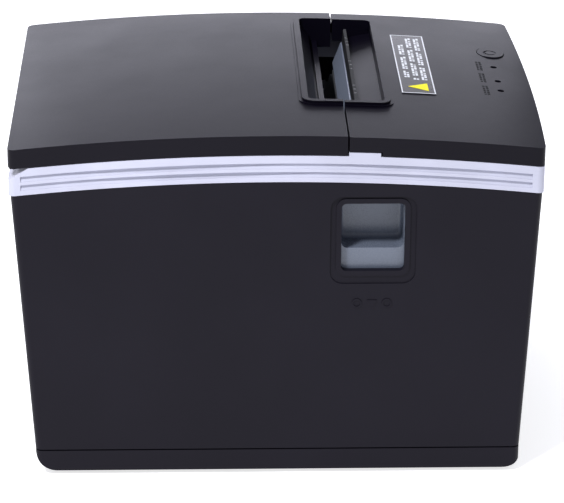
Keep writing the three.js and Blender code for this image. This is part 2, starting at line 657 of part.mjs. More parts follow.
function lockHook(y0, y1) {
  const arm = polygon([9, 81], [12, 73.8], [16, 75], [24, 96], [24, 105], [22, 107], [18.9, 106.4],
    [19.6, 102], [19.8, 95]);
  return cut(
    joined(alongY(arm, y0, y1), rodY(LOCK.x, LOCK.z, 4.8, y0, y1)),
    rodY(LOCK.x, LOCK.z, LOCK.r + FITTED, y0 - 1, y1 + 1),
  );
}

// ---------------------------------------------------------------- cutter and tear bar
const BLADE_Y = { y0: -26, y1: 55 };

function movingBlade() {
  const middle = (BLADE_Y.y0 + BLADE_Y.y1) / 2;
  const edge = polygon([25.2, BLADE_Y.y0], [38, BLADE_Y.y0], [44, -14], [44, 20], [57.8, 20], [57.8, 27.2],
    [42.4, 27.2], [42.4, 43], [38, BLADE_Y.y1], [25.2, BLADE_Y.y1], [27.8, middle]);
  return joined(alongZ(edge, BLADE_Z, BLADE_Z + 1), rack());
}

function rack() {
  const pitch = Math.PI * RACK_MODULE;
  const line = RACK_LINE_Y;
  const points = [[57.8, 26], [42.6, 26], [42.6, 27.2]];
  for (let i = -1; i <= 3; i++) {
    const x = CUTTER_AXIS_X + i * pitch;
    points.push([x - 0.85, 27.2], [x - 0.3, line + 0.7], [x + 0.3, line + 0.7], [x + 0.85, 27.2]);
  }
  points.push([57.8, 27.2]);
  return alongZ(polygon(...points.reverse()), BLADE_Z, 116.6);
}

function cutterPinion() {
  const y = RACK_LINE_Y + gearRadius(CUTTER_TEETH, RACK_MODULE) + 0.1;
  const phase = -Math.PI / 2 + Math.PI / CUTTER_TEETH;
  return joined(
    alongZ(gearShape(CUTTER_TEETH, RACK_MODULE, CUTTER_AXIS_X, y, phase), 114.3, 116.8),
    rodZ(CUTTER_AXIS_X, y, 2, 110.6, 118.4),
    rodZ(CUTTER_AXIS_X, y, 4.4, 112.9, 114.4),
  );
}

function cutterFrame() {
  const y = RACK_LINE_Y + gearRadius(CUTTER_TEETH, RACK_MODULE) + 0.1;
  const bed = cut(block(24.8, 59.8, -31.2, 59.8, 110.4, 112.3), rodZ(CUTTER_AXIS_X, y, 2.4, 105, 115));
  const rails = [block(30, 56, -31.2, -27, 112.2, 114.2), block(30, 56, 56, 59.8, 112.2, 114.2)];
  return joined(bed, ...rails);
}

const cutterGearbox = () => joined(block(38, 57, 18, 50, 92, 109.9), block(42, 53, 16.4, 18.1, 95, 107));
const cutterMotor = () =>
  joined(rodY(47.5, 101, 8.2, -12, 15.8), rodY(47.5, 101, 3, -14, -11, 12));

function cutterCover() {
  const shell = alongY(polygon([24.7, 115.2], [27.9, 123.9], [60, 123.9], [60, 114.6]), -31.2, 59.8);
  const room = alongY(
    polygon([26.9, 110], [26.9, 115.5], [29.2, 122.2], [58.2, 122.2], [58.2, 110]), -29.4, 58,
  );
  return cut(shell, room);
}

function tearBar() {
  const pitch = 2;
  const [y0, y1] = [-31, 59];
  const points = [[y0, 124.3], [y1, 124.3]];
  const teeth = Math.round((y1 - y0) / pitch);
  for (let i = teeth; i > 0; i--) {
    points.push([y0 + i * pitch, 129.1], [y0 + (i - 0.5) * pitch, 129.8]);
  }
  points.push([y0, 129.1]);
  return alongX(polygon(...points), 28.3, 29.9);
}

// ---------------------------------------------------------------- boards, ports and switch
const BOARD_TOP = 13.6;
const PORT_REAR = -88.4;
const PORTS = {
  power_inlet: { y: -44, half: 7, top: 27.6, front: -73 },
  usb_port: { y: -23, half: 6, top: 25.2, front: -73 },
  network_port: { y: -3, half: 8, top: 27.6, front: -71 },
  drawer_port: { y: 18, half: 6.9, top: 27.6, front: -71 },
};

function portBody({ y, half, top, front }) {
  return block(PORT_REAR, front, y - half, y + half, BOARD_TOP + FITTED, top);
}

function powerInlet() {
  const port = PORTS.power_inlet;
  return cut(portBody(port), rodX(port.y, 20.8, 4.9, -100, PORT_REAR + 9));
}
function usbPort() {
  const port = PORTS.usb_port;
  return cut(portBody(port), block(-100, PORT_REAR + 9.5, port.y - 4.3, port.y + 4.3, 15.6, 23.4));
}
function networkPort() {
  const port = PORTS.network_port;
  return cut(
    portBody(port),
    block(-100, PORT_REAR + 12, port.y - 5.9, port.y + 5.9, 17.2, 25.4),
    block(-100, PORT_REAR + 9, port.y - 3, port.y + 3, 15.4, 18),
  );
}
function drawerPort() {
  const port = PORTS.drawer_port;
  return cut(
    portBody(port),
    block(-100, PORT_REAR + 12, port.y - 4.9, port.y + 4.9, 17.8, 25),
    block(-100, PORT_REAR + 9, port.y - 2.4, port.y + 2.4, 16, 18.5),
  );
}

const interfaceBoard = () =>
  joined(
    block(-84.4, -57, -54, 30, 12, BOARD_TOP),
    block(-69, -61, -36, -28, BOARD_TOP - 0.1, 15.4),
    block(-68, -62, 2, 14, BOARD_TOP - 0.1, 15),
    rodZ(-64, -41.5, 3, BOARD_TOP - 0.1, 22, 12),
  );

const mainBoard = () =>
  joined(
    block(-70, 2, -47, -45.4, 15, 96),
    block(-50, -36, -49, -46.9, 50, 64),
    block(-24, -14, -49, -46.9, 54, 62),
    block(-66, -54, -52, -46.9, 80, 88),
    block(-20, 0, -53, -46.9, 20, 27),
    alongY(disc(-64, 30, 5), -60, -46.9, 14),
    alongY(disc(-50, 26, 4), -57, -46.9, 14),
  );

const SWITCH = { y: 45, z: 23, x: -84 };

function ioPlate() {
  const plate = block(-86.3, -85.1, -57.6, 60, 14, 33);
  const holes = Object.values(PORTS).map(({ y, half, top }) =>
    block(-90, -80, y - half - FITTED, y + half + FITTED, 10, top + FITTED),
  );
  const switchHole = block(-90, -80, SWITCH.y - 9.2, SWITCH.y + 9.2, SWITCH.z - 6.1, SWITCH.z + 6.1);
  return cut(plate, ...holes, switchHole);
}

function switchHousing() {
  const { y, z } = SWITCH;
  return cut(
    joined(
      block(-88, -86.6, y - 10.2, y + 10.2, z - 7.2, z + 7.2),
      block(-86.7, -74, y - 8.8, y + 8.8, z - 5.7, z + 5.7),
    ),
    block(-95, -77, y - 7.2, y + 7.2, z - 4.4, z + 4.4),
  );
}

const ROCK = (8 * Math.PI) / 180; // the rocker rests tipped this far, and tips as far the other way

function powerRocker() {
  const outline = [[-6.4, -1.5], [-6.4, 3.5], [0, 2.3], [6.4, 3.5], [6.4, -1.5], [0, -4.6]];
  const turned = outline.map(([across, out]) => [
    SWITCH.x - (out * Math.cos(ROCK) - across * Math.sin(ROCK)),
    SWITCH.y + across * Math.cos(ROCK) + out * Math.sin(ROCK),
  ]);
  return alongZ(polygon(...turned.reverse()), SWITCH.z - 4, SWITCH.z + 4);
}

// ---------------------------------------------------------------- feet and fasteners
const foot = ([x, y]) => joined(rodZ(x, y, 6, 0.4, 2.3), rodZ(x, y, 5.4, 0, 0.5));
const screw = ([x, y]) =>
  cut(
    joined(rodZ(x, y, 2.9, 1.7, 2.9, 12), rodZ(x, y, 1.4, 2.8, 22, 8)),
    block(x - 1.8, x + 1.8, y - 0.4, y + 0.4, 1, 2.2),
    block(x - 0.4, x + 0.4, y - 1.8, y + 1.8, 1, 2.2),
  );

// ---------------------------------------------------------------- assembly
place("main_case", mainCase(), CASE_BLACK);
place("base_tray", baseTray(), CASE_BLACK);
place("trim_band", trimBand(), BAND_WHITE);
place("front_cover", frontCover(), COVER_BLACK);
place("info_label", infoLabel(), PRINT);
LAMPS.forEach(([name, y]) => place(name, lamp(y), LENS));
place("control_board", controlBoard(), CIRCUIT);
place("paper_bucket", paperBucket(), INNER_BLACK);
place("paper_sensor", paperSensor(), INNER_BLACK);
place("head_chassis", headChassis(), STEEL);
place("stepper_motor", stepperMotor(), STEEL);
place("cutter_frame", cutterFrame(), STEEL);
place("cutter_gearbox", cutterGearbox(), INNER_BLACK);
place("cutter_motor", cutterMotor(), STEEL);
place("cutter_cover", cutterCover(), LEVER_GREY);
place("tear_bar", tearBar(), STEEL);
place("main_board", mainBoard(), CIRCUIT);
place("interface_board", interfaceBoard(), CIRCUIT);
place("io_plate", ioPlate(), STEEL);
place("power_inlet", powerInlet(), INNER_BLACK);
place("usb_port", usbPort(), STEEL);
place("network_port", networkPort(), STEEL);
place("drawer_port", drawerPort(), INNER_BLACK);
place("switch_housing", switchHousing(), INNER_BLACK);
FEET.forEach((at, i) => place(`foot_${i + 1}`, foot(at), RUBBER));
CORNER_SCREWS.forEach((at, i) => place(`base_screw_${i + 1}`, screw(at), STEEL));

place("paper_cover", paperCover(), COVER_BLACK);
HINGE_LUGS.forEach((y, i) => place(`hinge_pin_${i + 1}`, hingePin(y), STEEL));
place("platen_holder", platenHolder(), INNER_BLACK);
place("platen_bush_left", platenBush(-36, -28), BRASS);
place("platen_bush_right", platenBush(57, 63.8), BRASS);
place("fixed_blade", fixedBlade(), STEEL);

place("platen_shaft", platenShaft(), STEEL);
place("platen_roller", platenRoller(), RUBBER);
place("platen_gear", platenGear(), NYLON);
place("idler_gear", idlerGear(), NYLON);
place("stepper_pinion", stepperPinion(), BRASS);

place("print_head", printHead(), ALUMINIUM);
SPRING_PLACES.forEach((y, i) => place(`head_spring_${i + 1}`, headSpring(y), STEEL));

place("lever_cup", leverCup(), LEVER_GREY);
place("lock_shaft", lockShaft(), STEEL);
place("lock_hook_left", lockHook(-35.6, -34.1), STEEL);
place("lock_hook_right", lockHook(62, 63.4), STEEL);

place("moving_blade", movingBlade(), STEEL);
place("cutter_pinion", cutterPinion(), BRASS);
place("feed_button", feedButton(), COVER_BLACK);
place("power_rocker", powerRocker(), INNER_BLACK);

export default part;
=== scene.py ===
"""A desktop receipt printer: its mouldings, label, lever and finishes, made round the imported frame."""

import json
import math

import bmesh
import bpy
from mathutils import Matrix, Vector


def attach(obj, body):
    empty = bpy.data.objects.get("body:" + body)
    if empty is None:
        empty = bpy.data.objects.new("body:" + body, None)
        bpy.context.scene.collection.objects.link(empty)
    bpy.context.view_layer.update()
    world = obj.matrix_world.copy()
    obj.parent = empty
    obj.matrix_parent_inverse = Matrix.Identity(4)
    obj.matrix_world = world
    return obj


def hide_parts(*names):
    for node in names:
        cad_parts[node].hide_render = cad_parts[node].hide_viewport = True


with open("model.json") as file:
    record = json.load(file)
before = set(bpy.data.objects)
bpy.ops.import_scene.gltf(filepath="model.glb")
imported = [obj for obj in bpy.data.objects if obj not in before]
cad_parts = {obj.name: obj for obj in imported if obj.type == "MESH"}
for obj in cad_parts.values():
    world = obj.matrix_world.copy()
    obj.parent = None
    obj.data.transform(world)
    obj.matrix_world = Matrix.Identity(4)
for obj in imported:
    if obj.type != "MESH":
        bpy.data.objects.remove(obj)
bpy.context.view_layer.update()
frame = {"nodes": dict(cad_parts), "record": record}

MM = 0.001

# The case's sizes, in millimetres, as the frame has them.
REAR = -96
FRONT = 94
BOW = 2
HALF_WIDTH = 72.5
CORNER = 2.6
CROWN = 5
CROWN_HALF = 95
CROWN_RADIUS = (CROWN_HALF**2 + CROWN**2) / (2 * CROWN)
WALL = 2.5
BASE_LOW = 1.5
SEAM = 9.5
SEAM_GAP = 0.5
BELT = 120
SEAM_REAR = -89
SEAM_FRONT = 88.9
SEAM_HALF = 71.5
CASE_TOP = 109.6
BAND_LOW = 109.9
BAND_TOP = 119.8
BAND_WALL = 3
COVER_LOW = 120.1
COVER_TOP = 127.2
FRONT_TOP = 126.95  # the front cover sits a little lower than the rear one
COVER_SKIN = 2
PART_X = 24.2
PART_GAP = 0.6
HINGE_X = -93.4
HINGE_Z = 121.6
LUGS = (-24, 49)
LUG_WIDTH = 5
SLOT = (11.3, 39.2, -36.2, 60.8)
BUTTON = (84.4, 32.5)
BUTTON_RADII = (5.1, 6.3)
LAMP_X = 84
LAMPS = {"power_lamp": -12.4, "error_lamp": -1.5, "paper_lamp": 15.2}
FEET = [(x, y) for x in (-66, 66) for y in (-54, 54)]
SCREWS = [(x, y) for x in (-77, 77) for y in (-63, 63)]

# How far the cutters reach, past the case on all sides, and how close counts as the same place.
PAST = 80
FAR = 90
SKY = 150
NEAR = 0.01


# ---------------------------------------------------------------- modelling by hand
def clear_selection():
    if bpy.context.mode != "OBJECT":
        bpy.ops.object.mode_set(mode="OBJECT")
    bpy.ops.object.select_all(action="DESELECT")


def take(piece):
    clear_selection()
    piece.select_set(True)
    bpy.context.view_layer.objects.active = piece
    return piece


def added(name):
    """The primitive that was just added, with its place put into its mesh."""
    bpy.ops.object.transform_apply(location=True, rotation=True, scale=True)
    piece = bpy.context.object
    piece.name = name
    return piece


def block(name, x, y, z):
    clear_selection()
    centre = [(low + high) / 2 * MM for low, high in (x, y, z)]
    size = [(high - low) * MM for low, high in (x, y, z)]
    bpy.ops.mesh.primitive_cube_add(size=1, location=centre, scale=size)
    return added(name)


def rod(name, centre, radius, length, turn=(0, 0, 0), sides=48):
    clear_selection()
    bpy.ops.mesh.primitive_cylinder_add(
        vertices=sides,
        radius=radius * MM,
        depth=length * MM,
        location=[value * MM for value in centre],
        rotation=turn,
    )
    return added(name)


ALONG_Y = (math.pi / 2, 0, 0)  # turns an upright rod so that it lies across the case


def edit(piece, kind, wanted, *steps):
    """Runs edit mode's steps on the vertices, edges or faces that are wanted."""
    take(piece)
    bpy.ops.object.mode_set(mode="EDIT")
    bpy.ops.mesh.select_mode(type=kind)
    bpy.ops.mesh.select_all(action="DESELECT")
    mesh = bmesh.from_edit_mesh(piece.data)
    for element in {"VERT": mesh.verts, "EDGE": mesh.edges, "FACE": mesh.faces}[kind]:
        element.select_set(bool(wanted(element)))
    mesh.select_flush_mode()
    bmesh.update_edit_mesh(piece.data)
    for step in steps:
        step()
    bpy.ops.object.mode_set(mode="OBJECT")
    return piece


def everything(_):
    return True


def move(x=0, y=0, z=0):
    return lambda: bpy.ops.transform.translate(value=(x * MM, y * MM, z * MM))


def round_off(radius, segments):
    return lambda: bpy.ops.mesh.bevel(
        offset=radius * MM, segments=segments, affect="EDGES", clamp_overlap=True
    )


def upright(edge):
    a, b = edge.verts
    return abs(a.co.z - b.co.z) > 1.5 * (a.co.xy - b.co.xy).length


def along(axis):
    """Tests for edges that run along the axis of that number."""

    def test(edge):
        run = edge.verts[1].co - edge.verts[0].co
        return abs(run[axis]) > 0.99 * run.length

    return test


def apply_modifier(piece, kind, **settings):
    modifier = piece.modifiers.new(kind.lower(), kind)
    for key, value in settings.items():
        setattr(modifier, key, value)
    take(piece)
    bpy.ops.object.modifier_apply(modifier=modifier.name)
    return piece


def combine(piece, tool, operation):
    apply_modifier(piece, "BOOLEAN", operation=operation, object=tool, solver="MANIFOLD")
    bpy.data.objects.remove(tool)
    return piece


def cut(piece, *tools):
    for tool in tools:
        combine(piece, tool, "DIFFERENCE")
    return piece


def join(piece, *tools):
    for tool in tools:
        combine(piece, tool, "UNION")
    return piece


def keep_common(piece, tool):
    return combine(piece, tool, "INTERSECT")


def soften(piece, radius, segments=3, angle=28):
    """Merges stray points, rounds the edges and smooths the shading as a moulding has it."""
    edit(
        piece,
        "VERT",
        everything,
        lambda: bpy.ops.mesh.remove_doubles(threshold=0.004 * MM),
        lambda: bpy.ops.mesh.dissolve_limited(angle_limit=math.radians(0.08)),
    )
    apply_modifier(
        piece,
        "BEVEL",
        width=radius * MM,
        segments=segments,
        limit_method="ANGLE",
        angle_limit=math.radians(angle),
        use_clamp_overlap=True,
        miter_outer="MITER_ARC",
    )
    return smooth(piece)


def smooth(piece, angle=40):
    take(piece)
    bpy.ops.object.shade_smooth_by_angle(angle=math.radians(angle))
    return apply_modifier(piece, "WEIGHTED_NORMAL", keep_sharp=True)


def rounded_block(name, x, y, z, radius, axis, segments=6):
    """A block whose four edges along one axis are rounded."""
    piece = block(name, x, y, z)
    return edit(piece, "EDGE", along(axis), round_off(radius, segments))


def fine_copy(node, radius):
    """A merged copy of a node of the frame, with its edges broken as the real piece has them."""
    piece = bpy.data.objects.new(node + "_finished", frame["nodes"][node].data.copy())
    bpy.context.collection.objects.link(piece)
    piece.data.materials.clear()
    return soften(piece, radius, 2, 35)


# ---------------------------------------------------------------- the case's outer form
BOW_STEPS = 12


def plan_form(name, low, high, inset=0):
    """An upright block with round corners and a bowed front, at the belt's full size."""
    half = HALF_WIDTH - inset
    piece = block(name, (REAR + inset, FRONT - inset), (-half, half), (low, high))
    rows = [half * (2 * i / BOW_STEPS - 1) for i in range(1, BOW_STEPS)]
    for y in rows:
        edit(
            piece,
            "VERT",
            everything,
            lambda: bpy.ops.mesh.bisect(plane_co=(0, y * MM, 0), plane_no=(0, 1, 0)),
        )
    front = (FRONT - inset) * MM
    for y in rows:
        edit(
            piece,
            "VERT",
            lambda v: abs(v.co.x - front) < NEAR * MM and abs(v.co.y - y * MM) < NEAR * MM,
            move(x=BOW * (1 - (y / half) ** 2)),
        )
    ends = half * MM - NEAR * MM
    return edit(
        piece,
        "EDGE",
        lambda e: upright(e) and abs(e.verts[0].co.y) > ends,
        round_off(max(CORNER - inset, 0.4), 6),
    )


def lean_in(piece, low, inset=0):
    """Draws the foot of a plan form in, as the tapered walls are at that height."""
    lean = (BELT - low) / (BELT - SEAM)
    rear = REAR + (SEAM_REAR - REAR) * lean
    front = FRONT + (SEAM_FRONT - FRONT) * lean
    half = HALF_WIDTH + (SEAM_HALF - HALF_WIDTH) * lean
    grow = (front - rear - 2 * inset) / (FRONT - REAR - 2 * inset)
    still = (rear + inset - grow * (REAR + inset)) / (1 - grow)
    widen = (half - inset) / (HALF_WIDTH - inset)
    return edit(
        piece,
        "VERT",
        lambda v: abs(v.co.z - low * MM) < NEAR * MM,
        lambda: bpy.ops.transform.resize(
            value=(grow, widen, 1), center_override=(still * MM, 0, low * MM)
        ),
    )


DRUM_LENGTH = 300
DRUM_SIDES = 1800


def drum(end_z):
    """The great drum whose top is an arched surface, at height end_z where x is CROWN_HALF."""
    centre = (0, 0, end_z + CROWN - CROWN_RADIUS)
    return rod("drum", centre, CROWN_RADIUS, DRUM_LENGTH, ALONG_Y, DRUM_SIDES)


def crown(x, end_z):
    """The height at x of the arched surface that a drum of the same end_z has."""
    return end_z + CROWN - CROWN_RADIUS + math.sqrt(CROWN_RADIUS**2 - x * x)


def arched_slab(name, low, high, x, y):
    """A block between two arched surfaces."""
    piece = block(name, x, y, (low - 12, high + 20))
    keep_common(piece, drum(high))
    return cut(piece, drum(low))


# ---------------------------------------------------------------- casings
WINDOW = ((22.1, 44.8), (80.6, 106.4))
DISH = ((18.1, 48.9), (75.6, 109.1))
WINDOW_LIP = ((20.2, 46.7), (78.6, 108.2))
FACE_Y = -72.24  # the left wall at the lever's height
DISH_DEPTH = 0.6
PORTS = ((-56, 58), (13.4, 31))


def screw_posts(shell):
    for x, y in SCREWS:
        side = math.copysign(1, y)
        span = sorted((side * 60.2, side * 69.6))
        join(shell, block("post", (x - 5, x + 5), span, (14, 36)))
        cut(shell, rod("hole", (x, y, 19), 1.7, 14))


def case_shell():
    shell = lean_in(plan_form("case_shell", SEAM + SEAM_GAP, BELT), SEAM + SEAM_GAP)
    cut(shell, lean_in(plan_form("room", 5, 130, WALL), 5, WALL))
    keep_common(shell, drum(CASE_TOP))
    dish = rounded_block("dish", DISH[0], (-PAST, FACE_Y + DISH_DEPTH), DISH[1], 4.6, 1)
    rim = rounded_block(
        "rim", WINDOW_LIP[0], (FACE_Y + 0.1, FACE_Y + 1.2), WINDOW_LIP[1], 3.6, 1
    )
    window = rounded_block("window", WINDOW[0], (-PAST, -60), WINDOW[1], 1.8, 1)
    cut(shell, dish)
    join(shell, rim)
    cut(shell, window, block("ports", (-99, -80), *PORTS))
    screw_posts(shell)
    return soften(shell, 0.32)


MARK_Y = FACE_Y + 0.35
MARK_HEIGHT = 0.9
ARROW_PLACE = (33.4, MARK_Y, 68.2)
RING_PLACES = ((28, MARK_Y, 68), (38.8, MARK_Y, 68))


def mark_ring(place):
    ring = rod("ring", place, 1.8, MARK_HEIGHT, ALONG_Y, 32)
    return cut(ring, rod("hole", (place[0], FACE_Y, place[2]), 1.25, 3, ALONG_Y))


def lever_marks():
    """Raised marks under the lever: a small arrow that points down, with a ring on each side."""
    clear_selection()
    centre = [value * MM for value in ARROW_PLACE]
    bpy.ops.mesh.primitive_cylinder_add(
        vertices=3, radius=2.1 * MM, depth=MARK_HEIGHT * MM, location=centre, rotation=ALONG_Y
    )
    marks = edit(
        added("lever_marks"),
        "VERT",
        everything,
        lambda: bpy.ops.transform.rotate(value=math.pi, orient_axis="Y", center_override=centre),
    )
    for place in RING_PLACES:
        marks = merge("lever_marks", [marks, mark_ring(place)])
    return soften(marks, 0.12, 2)


BASE_RADIUS = 8


def round_corner(end, side):
    """What is cut away under one end of the base to leave a quarter round."""
    centre_x = end - side * BASE_RADIUS
    centre_z = BASE_LOW + BASE_RADIUS
    angles = [i * math.pi / 24 for i in range(13)]
    arc = [
        (centre_x + side * BASE_RADIUS * math.sin(a), centre_z - BASE_RADIUS * math.cos(a))
        for a in angles
    ]
    outer_x = end + side * 4
    under = BASE_LOW - 3
    outside = [(outer_x, centre_z), (outer_x, under), (centre_x, under)]
    return profile("round_corner", arc + outside, (-PAST, PAST))


def base_shell():
    base = plan_form("base_shell", BASE_LOW, SEAM)
    grow = (SEAM_FRONT - SEAM_REAR) / (FRONT - REAR)
    still = (SEAM_REAR - grow * REAR) / (1 - grow)
    edit(
        base,
        "VERT",
        everything,
        lambda: bpy.ops.transform.resize(
            value=(grow, SEAM_HALF / HALF_WIDTH, 1), center_override=(still * MM, 0, 0)
        ),
    )
    for end, side in ((SEAM_REAR - 0.05, -1), (SEAM_FRONT + BOW, 1)):
        cut(base, round_corner(end, side))
    cut(base, block("well", (-80, 80), (-68, 68), (4, 20)))  # inside the walls and over the floor
    for x, y in FEET:
        cut(base, rod("pocket", (x, y, 1.8), 6.4, 1.6))
    for x, y in SCREWS:
        cut(base, rod("head_well", (x, y, 2), 3.3, 2, sides=32))
        cut(base, rod("screw_hole", (x, y, 4), 1.8, 6, sides=24))
    return soften(base, 0.3)


GROOVES = ((4.9, 7.0), (1.7, 3.8))
GROOVE_DEPTH = 1.1
GROOVE_LIP = 0.95  # how much shallower the groove is at its lower edge


def groove(low, high, side):
    """A long groove's cutter: its floor is deepest along the upper edge."""
    inner = side * (HALF_WIDTH - GROOVE_DEPTH)
    reach = (REAR + CORNER + 1.8, FRONT - CORNER - 1.8)
    depth = sorted((inner, side * PAST))
    tool = arched_slab("groove", BAND_LOW + low, BAND_LOW + high, reach, depth)
    middle = BAND_LOW + (low + high) / 2
    return edit(
        tool,
        "VERT",
        lambda v: abs(v.co.y - inner * MM) < NEAR * MM
        and v.co.z / MM < crown(v.co.x / MM, middle),
        move(y=side * GROOVE_LIP),
    )


def belt_ring(name):
    ring = plan_form(name, 100, 130)
    return cut(ring, plan_form("inside", 90, 140, BAND_WALL))


TAB = (24.4, 35.6)
TAB_RISE = 1.4


def raised_tab():
    """The short stretch beside the covers' parting line where the band stands higher."""
    tab = keep_common(belt_ring("tab"), drum(BAND_TOP + TAB_RISE))
    cut(tab, drum(BAND_TOP - 1))
    return keep_common(tab, block("tab_reach", TAB, (-PAST, PAST), (FAR, 140)))


def rear_slope():
    """What is cut away over the rear ledge, so that the opening cover clears it."""
    slope = take(block("slope", (-112, -88), (-PAST, PAST), (121, 135)))
    turn = Matrix.Rotation(-math.atan2(7.6, 12.2), 4, "Y")
    pivot = Matrix.Translation(Vector((-87.8, 0, 121)) * MM)
    slope.matrix_world = pivot @ turn @ pivot.inverted()
    bpy.ops.object.transform_apply(location=True, rotation=True, scale=True)
    return slope


def white_band():
    band = keep_common(belt_ring("white_band"), drum(BAND_TOP))
    cut(band, drum(BAND_LOW))
    join(band, raised_tab(), block("ledge", (-94, -87.4), (-70, 70), (111, 120)))
    cut(band, rear_slope())
    for y in LUGS:
        cut(band, block("notch", (-90.6, -80), (y - 0.5, y + LUG_WIDTH + 0.5), (117, 125)))
    for low, high in GROOVES:
        for side in (-1, 1):
            cut(band, groove(low, high, side))
    return soften(band, 0.28)


def lid_form(name, top):
    """Both covers' common shell: an arched skin with skirts all round."""
    shell = keep_common(plan_form(name, 110, 140), drum(top))
    cut(shell, drum(COVER_LOW))

    def top_rim(edge):
        a, b = (vertex.co / MM for vertex in edge.verts)
        on_top = min(v.z - crown(v.x, top) for v in (a, b)) > -0.02
        return on_top and len(edge.link_faces) == 2 and edge.calc_face_angle() > 1

    edit(shell, "EDGE", top_rim, round_off(0.8, 5))
    room = keep_common(plan_form("room", 100, 141, WALL), drum(top - COVER_SKIN))
    return cut(shell, room)


def raised_rim(name, top, grow, rise, radius):
    x0, x1, y0, y1 = SLOT
    piece = rounded_block(
        name, (x0 - grow, x1 + grow), (y0 - grow, y1 + grow), (110, 140), radius, 2, 8
    )
    keep_common(piece, drum(top + rise))
    return cut(piece, drum(top - 0.5))


def slot_rim(top):
    """The rim's low outer step and the round bead inside it."""
    return [raised_rim("step", top, 3.3, 0.4, 5.8), raised_rim("bead", top, 2.3, 1.4, 4.8)]


def slot_hole():
    x0, x1, y0, y1 = SLOT
    return rounded_block("slot", (x0, x1), (y0, y1), (FAR, SKY), 2.4, 2, 8)


def profile(name, points, y):
    """A bar of the given outline in X and Z, extruded from one end to the other."""
    clear_selection()
    bpy.ops.mesh.primitive_circle_add(vertices=len(points), radius=MM, fill_type="NGON")
    piece = bpy.context.object
    for vertex, (x, z) in zip(piece.data.vertices, points):
        vertex.co = Vector((x, y[0], z)) * MM
    piece = added(name)
    lift = {"value": (0, (y[1] - y[0]) * MM, 0)}
    edit(
        piece,
        "FACE",
        everything,
        lambda: bpy.ops.mesh.extrude_region_move(TRANSFORM_OT_translate=lift),
        lambda: bpy.ops.mesh.select_all(action="SELECT"),
        lambda: bpy.ops.mesh.normals_make_consistent(inside=False),
    )
    return piece


CHEEK = 1.5
SLOT_ENDS = (SLOT[2] - 0.5, SLOT[3] + 0.5)
SPAN = (-71, 71)  # between the covers' side skirts


def cheeks(x, low):
    """The two end walls of the slot."""
    high = crown(30, COVER_TOP) - 0.6
    return [
        block("cheek", x, (SLOT[2] - CHEEK, SLOT[2] + NEAR), (low, high)),
        block("cheek", x, (SLOT[3] - NEAR, SLOT[3] + CHEEK), (low, high)),
    ]


THROAT = [
    (9.6, 131.4), (11.4, 131.4), (15.2, 126.4), (15.2, 122.2), (16.4, 122.2), (16.4, 124.2),
    (18.4, 124.2), (18.4, 121), (13.6, 121), (13.6, 125.6), (9.6, 129.4),
]
REAR_CHAMFER = [(-97, 119.5), (-94.6, 119.5), (-97, 121.5)]


def hinge_ears(lid):
    """An ear with a pin's bore beside each lug, and room for the lug."""
    for y in LUGS:
        ear = (y + LUG_WIDTH + 0.5, y + LUG_WIDTH + 3.2)
        join(lid, block("ear", (-95.6, -90.6), ear, (119.4, 126.6)))
        cut(lid, block("notch", (-100, -90), (y - 0.5, ear[0] - NEAR), (110, 124.4)))
        cut(lid, rod("bore", (HINGE_X, y + 5, HINGE_Z), 1.3, 12.2, ALONG_Y, 32))


def rear_lid():
    edge = PART_X - PART_GAP / 2
    lid = join(lid_form("rear_lid", COVER_TOP), *slot_rim(COVER_TOP))
    cut(lid, block("beyond", (edge, 120), (-FAR, FAR), (FAR, SKY)))
    join(lid, arched_slab("front_wall", COVER_LOW, COVER_TOP - 1, (edge - 1.5, edge), SPAN))
    cut(lid, slot_hole())
    join(lid, profile("throat", THROAT, SLOT_ENDS), *cheeks((10.5, edge), 121.5))
    hinge_ears(lid)
    cut(lid, profile("rear_edge", REAR_CHAMFER, (-PAST, PAST)))
    return soften(lid, 0.4)


def oval(name, grow, low, high):
    """An upright oval bar at the feed button's place, wider than the button by grow all round."""
    clear_selection()
    bpy.ops.mesh.primitive_cylinder_add(
        vertices=64,
        radius=MM,
        depth=(high - low) * MM,
        location=(BUTTON[0] * MM, BUTTON[1] * MM, (low + high) / 2 * MM),
        scale=(BUTTON_RADII[0] + grow, BUTTON_RADII[1] + grow, 1),
    )
    return added(name)


EXIT_SLOPE = [
    (30.3, 124.7), (40.8, 126.2), (40.8, 131), (39.1, 131), (39.1, 127.1), (30.3, 125.6),
]
WALL_LOW = COVER_LOW + 1.6


def front_lid():
    edge = PART_X + PART_GAP / 2
    lid = join(lid_form("front_lid", FRONT_TOP), *slot_rim(FRONT_TOP))
    cut(lid, block("beyond", (-120, edge), (-FAR, FAR), (FAR, SKY)))
    wall = arched_slab("wall", WALL_LOW, FRONT_TOP - 1, (edge, edge + 1.5), SPAN)
    stop = arched_slab(
        "light_stop", WALL_LOW, FRONT_TOP - 1.6, (edge - 0.45, edge + 1), (64.5, 66.5)
    )
    join(lid, wall, stop)
    notch = arched_slab("notch", COVER_LOW - 3, COVER_LOW + 1.4, (edge - 1, 36.2), (-FAR, FAR))
    cut(lid, notch, slot_hole())
    join(lid, profile("slope", EXIT_SLOPE, SLOT_ENDS), *cheeks((edge, 40.8), 124))
    cut(lid, oval("button_hole", 0.3, 110, 140))
    for y in LAMPS.values():
        cut(lid, rod("lamp_hole", (LAMP_X, y, 125), 1.3, 30, sides=32))
    return soften(lid, 0.4)


def feed_key():
    """The oval feed button, with a ring sunk into its top."""
    x, y = BUTTON
    top = crown(x, FRONT_TOP)
    key = keep_common(oval("feed_key", 0, 124.6, top + 0.5), drum(FRONT_TOP + 0.4))
    join(key, oval("flange", 1.2, 124, 125.1), rod("stem", (x, y, 123.4), 1.5, 2, sides=24))
    ring_place = (x - 0.2, y - 0.8, top + 0.4)
    ring = cut(rod("ring", ring_place, 2.5, 0.6), rod("hole", ring_place, 1.9, 2))
    cut(key, ring)
    return soften(key, 0.18, 3)


LAMP_LOW = 121.6
LAMP_SINK = 1.3


